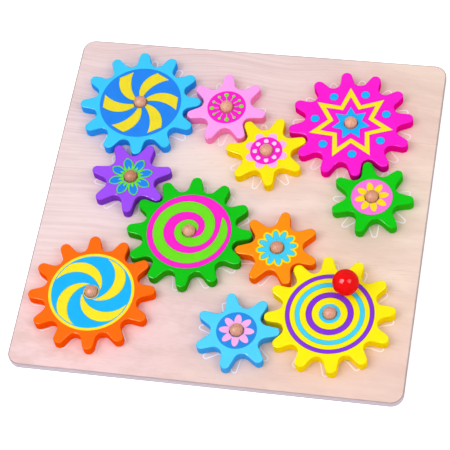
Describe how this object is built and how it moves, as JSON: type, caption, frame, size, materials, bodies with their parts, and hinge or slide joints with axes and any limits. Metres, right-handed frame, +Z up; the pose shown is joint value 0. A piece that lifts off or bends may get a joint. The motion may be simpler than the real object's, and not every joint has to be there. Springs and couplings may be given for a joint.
{
  "type": "crank gear toy",
  "caption": "Square plywood board with glued dowel pegs that carry loose, meshed wooden gears; a ball knob on one gear cranks the whole train.",
  "frame": {"origin": "centre of the board's underside", "axes": "+Z up out of the board's top, +X to the right and +Y away from the player, along the board's sides"},
  "size_m": [0.3, 0.3, 0.0363],
  "materials": {
    "plywood": "bare sanded birch plywood",
    "dowel_wood": "bare sanded dowel",
    "knob_lacquer": "high-gloss red lacquer on wood",
    "yellow_crank_paint": "smooth satin yellow paint on wood",
    "orange_small_paint": "smooth satin orange paint on wood",
    "light_blue_small_paint": "smooth satin light blue paint on wood",
    "green_large_paint": "smooth satin green paint on wood",
    "purple_small_paint": "smooth satin purple paint on wood",
    "orange_large_paint": "smooth satin orange paint on wood",
    "blue_large_paint": "smooth satin blue paint on wood",
    "pink_small_paint": "smooth satin pink paint on wood",
    "yellow_small_paint": "smooth satin yellow paint on wood",
    "magenta_large_paint": "smooth satin magenta paint on wood",
    "green_small_paint": "smooth satin green paint on wood"
  },
  "bodies": {
    "base": {"board": "plywood", "yellow_crank_peg": "dowel_wood", "orange_small_peg": "dowel_wood", "light_blue_small_peg": "dowel_wood", "green_large_peg": "dowel_wood", "purple_small_peg": "dowel_wood", "orange_large_peg": "dowel_wood", "blue_large_peg": "dowel_wood", "pink_small_peg": "dowel_wood", "yellow_small_peg": "dowel_wood", "magenta_large_peg": "dowel_wood", "green_small_peg": "dowel_wood"},
    "yellow_crank_gear": {"yellow_crank_gear": "yellow_crank_paint", "knob_stem": "dowel_wood", "knob_ball": "knob_lacquer"},
    "orange_small_gear": {"orange_small_gear": "orange_small_paint"},
    "light_blue_small_gear": {"light_blue_small_gear": "light_blue_small_paint"},
    "green_large_gear": {"green_large_gear": "green_large_paint"},
    "purple_small_gear": {"purple_small_gear": "purple_small_paint"},
    "orange_large_gear": {"orange_large_gear": "orange_large_paint"},
    "blue_large_gear": {"blue_large_gear": "blue_large_paint"},
    "pink_small_gear": {"pink_small_gear": "pink_small_paint"},
    "yellow_small_gear": {"yellow_small_gear": "yellow_small_paint"},
    "magenta_large_gear": {"magenta_large_gear": "magenta_large_paint"},
    "green_small_gear": {"green_small_gear": "green_small_paint"}
  },
  "joints": [
    {"name": "yellow_crank_spin", "type": "hinge", "parent": "base", "child": "yellow_crank_gear", "pos_m": [0.0883, -0.0865, 0.0108], "axis": [0, 0, 1], "continuous": true},
    {"name": "orange_small_spin", "type": "hinge", "parent": "base", "child": "orange_small_gear", "pos_m": [0.04063, -0.03484, 0.0108], "axis": [0, 0, 1], "continuous": true},
    {"name": "light_blue_small_spin", "type": "hinge", "parent": "base", "child": "light_blue_small_gear", "pos_m": [0.0214, -0.10811, 0.0108], "axis": [0, 0, 1], "continuous": true},
    {"name": "green_large_spin", "type": "hinge", "parent": "base", "child": "green_large_gear", "pos_m": [-0.02929, -0.02749, 0.0108], "axis": [0, 0, 1], "continuous": true},
    {"name": "purple_small_spin", "type": "hinge", "parent": "base", "child": "purple_small_gear", "pos_m": [-0.084, 0.01666, 0.0108], "axis": [0, 0, 1], "continuous": true},
    {"name": "orange_large_spin", "type": "hinge", "parent": "base", "child": "orange_large_gear", "pos_m": [-0.09445, -0.08782, 0.0108], "axis": [0, 0, 1], "continuous": true},
    {"name": "blue_large_spin", "type": "hinge", "parent": "base", "child": "blue_large_gear", "pos_m": [-0.08964, 0.08673, 0.0108], "axis": [0, 0, 1], "continuous": true},
    {"name": "pink_small_spin", "type": "hinge", "parent": "base", "child": "pink_small_gear", "pos_m": [-0.01937, 0.08869, 0.0108], "axis": [0, 0, 1], "continuous": true},
    {"name": "yellow_small_spin", "type": "hinge", "parent": "base", "child": "yellow_small_gear", "pos_m": [0.01866, 0.05106, 0.0108], "axis": [0, 0, 1], "continuous": true},
    {"name": "magenta_large_spin", "type": "hinge", "parent": "base", "child": "magenta_large_gear", "pos_m": [0.0813, 0.08298, 0.0108], "axis": [0, 0, 1], "continuous": true},
    {"name": "green_small_spin", "type": "hinge", "parent": "base", "child": "green_small_gear", "pos_m": [0.10638, 0.0173, 0.0108], "axis": [0, 0, 1], "continuous": true}
  ],
  "couplings": [
    {"joint": "orange_small_spin", "follows": "yellow_crank_spin", "ratio": -1.7143},
    {"joint": "light_blue_small_spin", "follows": "yellow_crank_spin", "ratio": -1.7143},
    {"joint": "green_large_spin", "follows": "yellow_crank_spin", "ratio": 1},
    {"joint": "purple_small_spin", "follows": "yellow_crank_spin", "ratio": -1.7143},
    {"joint": "orange_large_spin", "follows": "yellow_crank_spin", "ratio": -1},
    {"joint": "blue_large_spin", "follows": "yellow_crank_spin", "ratio": 1},
    {"joint": "pink_small_spin", "follows": "yellow_crank_spin", "ratio": -1.7143},
    {"joint": "yellow_small_spin", "follows": "yellow_crank_spin", "ratio": 1.7143},
    {"joint": "magenta_large_spin", "follows": "yellow_crank_spin", "ratio": -1},
    {"joint": "green_small_spin", "follows": "yellow_crank_spin", "ratio": 1.7143}
  ]
}
